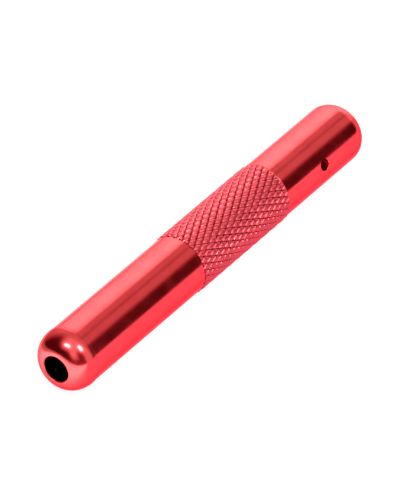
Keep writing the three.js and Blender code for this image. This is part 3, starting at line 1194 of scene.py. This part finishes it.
# ---- Studio ----


@dataclass(frozen=True)
class Panel:
    """Soft-edged light panel of the tent.

    Lean is the angle from overhead in degrees, towards the camera's side. Along is the part of the
    direction that lies along the tool, from -1 beyond the nose to 1 beyond the tail.
    """

    lean: Point
    along: Point
    level: float
    soft_lean: float = 6
    soft_along: float = 0.06

    def light(self, s: ShaderTree, lean: Socket, along: Socket) -> Socket:
        """Brightness that the panel adds in a direction."""
        level: object = self.level
        ranges = ((lean, self.lean, self.soft_lean), (along, self.along, self.soft_along))
        for value, (low, high), soft in ranges:
            level = s.math("MULTIPLY", level, s.spread(value, 0, 1, low - soft, low + soft, smooth=True))
            level = s.math("MULTIPLY", level, s.spread(value, 1, 0, high - soft, high + soft, smooth=True))
        return level


PANELS = (
    Panel((-98, -15), (0.605, 2), 2.2, 6, 0.03),  # soft box beyond the tail, on the far side
    Panel((-100, -27), (0.15, 2), 0.75, 12, 0.38),  # far wall, which falls off towards the nose
    Panel((-26, 45), (-0.75, 0.55), 0.7, 12, 0.1),  # overhead sheet
    Panel((-10, 32), (-0.5, 0.2), 0.6, 14, 0.15),  # its bright middle
    Panel((-14, 46), (0.55, 2), 0.55, 9, 0.1),  # overhead sheet, tail end
    Panel((-12, 50), (0.652, 2), 0.1, 14, 0.01),  # lighter sheet over the tail
    Panel((9, 17), (0.5, 2), -0.22, 5, 0.1),  # seam between the overhead sheets
    Panel((46, 95), (-0.02, 0.5), 0.75, 9, 0.09),  # strip down the near side
    Panel((50, 100), (-2, 0.4), 0.16, 8, 0.1),  # near wall
    Panel((26, 62), (-0.84, -0.44), 0.75, 12, 0.12),  # glow of the near corner
    Panel((-200, 200), (0.86, 2), 0.75, 8, 0.09),  # wall beyond the tail
    Panel((-10, 7), (-0.47, -0.29), 26.0, 6, 0.06),  # overhead lamp
    Panel((29, 44), (-0.01, 0.16), 26.0, 6, 0.06),  # near lamp
)


@dataclass
class Studio:
    """Pale floor, soft light tent and the camera."""

    azimuth: float = math.radians(-54.59)
    elevation: float = math.radians(37.19)
    distance: float = 1009.2 * MM
    aside: float = -0.74 * MM
    raised: float = -1.18 * MM
    lens: float = 396.9
    floor_size: float = 6.0
    # glow on the near side: painted shadow of the tool
    floor_shadowed: float = 0.95
    floor_far: float = 1.8
    floor_ahead: float = 1.6
    floor_rise: float = 12 * MM
    floor_beside: float = 1 * MM
    floor_before: float = 3.5 * MM
    floor_corner: float = 0.12
    corner_span: Point = (22 * MM, 45 * MM)
    # pink on the near side's glow: painted red light bounced off the tool
    floor_bounce_tint: Colour = (1, 0.5, 0.72, 1)
    floor_seen: float = 0.92
    floor_grey: float = 0.2
    ambient: float = 0.075
    shade_tint: Colour = (1, 0.15, 0.25, 1)
    wall: Colour = (0.95, 0.95, 0.96, 1)

    def camera(self) -> None:
        """Long-lens camera that looks down on the tool from the nose end."""
        a, e = self.azimuth, self.elevation
        right = Vector((math.cos(a), math.sin(a), 0))
        back = Vector((math.sin(a) * math.cos(e), -math.cos(a) * math.cos(e), math.sin(e)))
        up = back.cross(right)
        aim = Vector((0, 0, AXIS_Z)) + right * self.aside + up * self.raised
        data = bpy.data.cameras.new("camera")
        data.lens = self.lens
        data.sensor_width = 36
        data.clip_start = 0.01
        data.clip_end = 50
        eye = new_object("camera", data)
        eye.location = aim + back * self.distance
        eye.rotation_euler = back.to_track_quat("Z", "Y").to_euler()
        bpy.context.scene.camera = eye

    def floor(self) -> None:
        """Plain pale floor, lit from below: more strongly beyond the tool, little in its far corner. On the
        near side its glow is painted shadow of the tool, tinted pink as painted red light bounced off it.
        """
        half = self.floor_size / 2
        mesh = bpy.data.meshes.new("floor")
        corners = [(-half, -half, 0), (half, -half, 0), (half, half, 0), (-half, half, 0)]
        mesh.from_pydata(corners, [], [(0, 1, 2, 3)])
        s = Shader("pale_floor")
        p = s.principled.inputs
        p["Base Color"].default_value = (self.floor_grey, self.floor_grey, self.floor_grey, 1)
        p["Roughness"].default_value = 0.9
        p["Specular IOR Level"].default_value = 0.0
        x, y, _ = s.split()
        ahead = s.math("SUBTRACT", CAD_BOX[0].x, x)
        beside = s.math("ADD", y, self.floor_beside)
        beyond = s.math("MAXIMUM", beside, s.math("ADD", ahead, self.floor_before))
        share = s.spread(beyond, 0, 1, 0, self.floor_rise, smooth=True)
        # Painted shadow: the near side glows dimmer, as if in the tool's shadow.
        glow = s.spread(share, self.floor_shadowed, self.floor_far, 0, 1)
        near_nose = s.spread(ahead, 1, self.floor_ahead, 0, self.floor_rise, smooth=True)
        glow = s.math("MULTIPLY", glow, near_nose)
        corner = s.math("ADD", s.math("MULTIPLY", ahead, 0.6), s.math("MULTIPLY", y, 0.8))
        far_corner = s.spread(corner, 1, self.floor_corner, *self.corner_span, smooth=True)
        glow = s.math("MULTIPLY", glow, far_corner)
        seen = s.node("ShaderNodeLightPath").outputs["Is Camera Ray"]
        s.put(p["Emission Strength"], s.spread(seen, glow, self.floor_seen, 0, 1))
        # Painted bounce light: the near side's glow is tinted pink, as red light thrown off the tool.
        tint = s.mix(share, self.floor_bounce_tint, (1, 1, 1, 1))
        s.put(p["Emission Color"], s.mix(seen, tint, (1, 1, 1, 1)))
        mesh.materials.append(s.material)
        plane = new_object("floor", mesh)

    def tent(self) -> None:
        """Light tent of soft panels round the tool; the camera sees it as a plain pale wall."""
        world = bpy.data.worlds.new("light_tent")
        bpy.context.scene.world = world
        world.use_nodes = True
        s = ShaderTree(world.node_tree, "Generated")
        along, across, height = s.split()
        lean = s.math("DEGREES", s.math("ARCTAN2", s.math("MULTIPLY", across, -1.0), height))
        total: object = self.ambient
        for panel in PANELS:
            total = s.math("ADD", total, panel.light(s, lean, along))
        background = s.tree.nodes["Background"]
        share = s.spread(total, 0, 1, 0.1, 0.9, smooth=True)
        s.put(background.inputs["Color"], s.mix(share, self.shade_tint, (1, 1, 1, 1)))
        s.put(background.inputs["Strength"], total)
        wall = s.node("ShaderNodeBackground", Color=self.wall)
        seen = s.node("ShaderNodeLightPath").outputs["Is Camera Ray"]
        mixed = s.node("ShaderNodeMixShader", i0=seen, i1=background.outputs[0], i2=wall.outputs[0])
        s.put(s.tree.nodes["World Output"].inputs[0], mixed.outputs[0])

    def build(self) -> None:
        """Set the view transform and make the floor, light and camera."""
        bpy.context.scene.view_settings.view_transform = "Standard"
        self.camera()
        self.floor()
        self.tent()


def main() -> None:
    """Build the studio and every sub-assembly."""
    logging.basicConfig(level=logging.INFO, format="%(name)s %(message)s")
    Studio().build()
    finishes = Finishes()
    for part in (FrontSleeve, Chuck, Spindle, Grip, RearSleeve):
        part(finishes).build()


if __name__ == "__main__":
    main()
